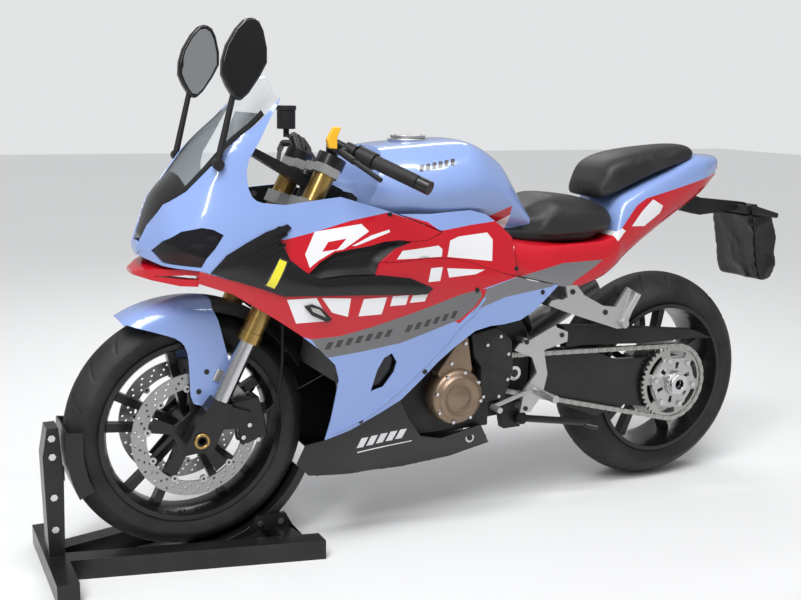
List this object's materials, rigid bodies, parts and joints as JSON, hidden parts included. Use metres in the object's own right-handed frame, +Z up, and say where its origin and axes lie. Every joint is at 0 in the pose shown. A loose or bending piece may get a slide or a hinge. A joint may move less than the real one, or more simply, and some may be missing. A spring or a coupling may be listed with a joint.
{
  "type": "sport bike on front wheel chock",
  "caption": "Faired sport motorcycle with single-sided swingarm, standing in a black front wheel chock; wheels, steering, side stand and fuel cap move.",
  "frame": {"origin": "floor under the middle of the length, on the centre plane", "axes": "+X forward, +Y to the rider's left, +Z up"},
  "size_m": [2.217, 0.7172, 1.306],
  "materials": {
    "black_wheel": "satin black enamel",
    "tyre": "matt rubber",
    "steel": "brushed",
    "silver": "cast, bright",
    "gold": "gold anodised",
    "black_metal": "satin black",
    "rubber": "matt",
    "black_plastic": "matt moulded",
    "blue_gloss": "gloss periwinkle blue with red band",
    "blue_metal": "gloss periwinkle blue",
    "lamp": "clear over dark reflector",
    "clear": "clear screen",
    "red_lens": "red lens",
    "bronze": "satin bronze",
    "seat": "black grained cover",
    "black_gloss": "gloss black",
    "chain": "oiled",
    "wrap": "black film",
    "screen": "dark display glass"
  },
  "bodies": {
    "chassis": {"upper_fairing_left": "blue_gloss", "upper_fairing_right": "blue_gloss", "side_fairing_left": "blue_gloss", "side_fairing_right": "blue_gloss", "tank_covers": "blue_gloss", "belly_pan": "black_gloss", "chin": "blue_gloss", "headlights": "lamp", "windscreen": "clear", "winglets": "black_gloss", "intake_ducts": "black_plastic", "main_frame": "black_metal", "engine_block": "black_metal", "generator_cover": "bronze", "sprocket_cover": "black_metal", "clutch_cover": "bronze", "radiator": "black_metal", "exhaust": "steel", "fuel_tank": "blue_metal", "rider_seat": "seat", "pillion_seat": "seat", "tail_fairing": "blue_gloss", "tail_light": "red_lens", "plate_holder": "black_plastic", "rear_signals": "black_plastic", "wrapped_plate": "wrap", "front_signals": "black_plastic", "mirrors": "black_gloss", "dash": "screen", "swingarm": "black_metal", "chain": "chain", "chain_guard": "black_plastic", "rear_shock": "black_metal", "rear_caliper": "black_metal", "rearsets": "silver", "pillion_brackets": "silver"},
    "fork": {"fork_lowers": "silver", "fork_uppers": "gold", "yokes": "silver", "clip_ons": "black_metal", "grips": "rubber", "bar_controls": "black_metal", "brake_reservoir": "black_plastic", "front_fender": "blue_gloss", "front_calipers": "black_metal", "brake_hose_left": "rubber", "brake_hose_right": "rubber", "chock_base": "black_metal", "chock_hoop": "black_metal", "chock_rocker": "black_metal"},
    "front_wheel": {"front_rim": "black_wheel", "front_tyre": "tyre", "front_discs": "steel"},
    "rear_wheel": {"rear_rim": "black_wheel", "rear_tyre": "tyre", "rear_disc": "steel", "rear_hub": "steel", "sprocket": "silver"},
    "side_stand": {"side_stand": "black_metal"},
    "fuel_cap": {"fuel_cap": "silver"}
  },
  "joints": [
    {"name": "steering", "type": "hinge", "parent": "chassis", "child": "fork", "pos_m": [0.42411, 0, 0.89725], "axis": [-0.4462, 0, 0.8949], "range_deg": [-25, 25]},
    {"name": "front_wheel_spin", "type": "hinge", "parent": "fork", "child": "front_wheel", "pos_m": [0.7535, 0, 0.324], "axis": [0, 1, 0], "continuous": true},
    {"name": "rear_wheel_spin", "type": "hinge", "parent": "chassis", "child": "rear_wheel", "pos_m": [-0.6865, 0, 0.315], "axis": [0, 1, 0], "continuous": true},
    {"name": "side_stand_swing", "type": "hinge", "parent": "chassis", "child": "side_stand", "pos_m": [-0.1515, 0.124, 0.268], "axis": [-0.043, 0.9678, 0.248], "range_deg": [-85, 0]},
    {"name": "fuel_cap_lid", "type": "hinge", "parent": "chassis", "child": "fuel_cap", "pos_m": [0.2035, 0, 1.036], "axis": [0, 1, 0], "range_deg": [0, 100]}
  ]
}
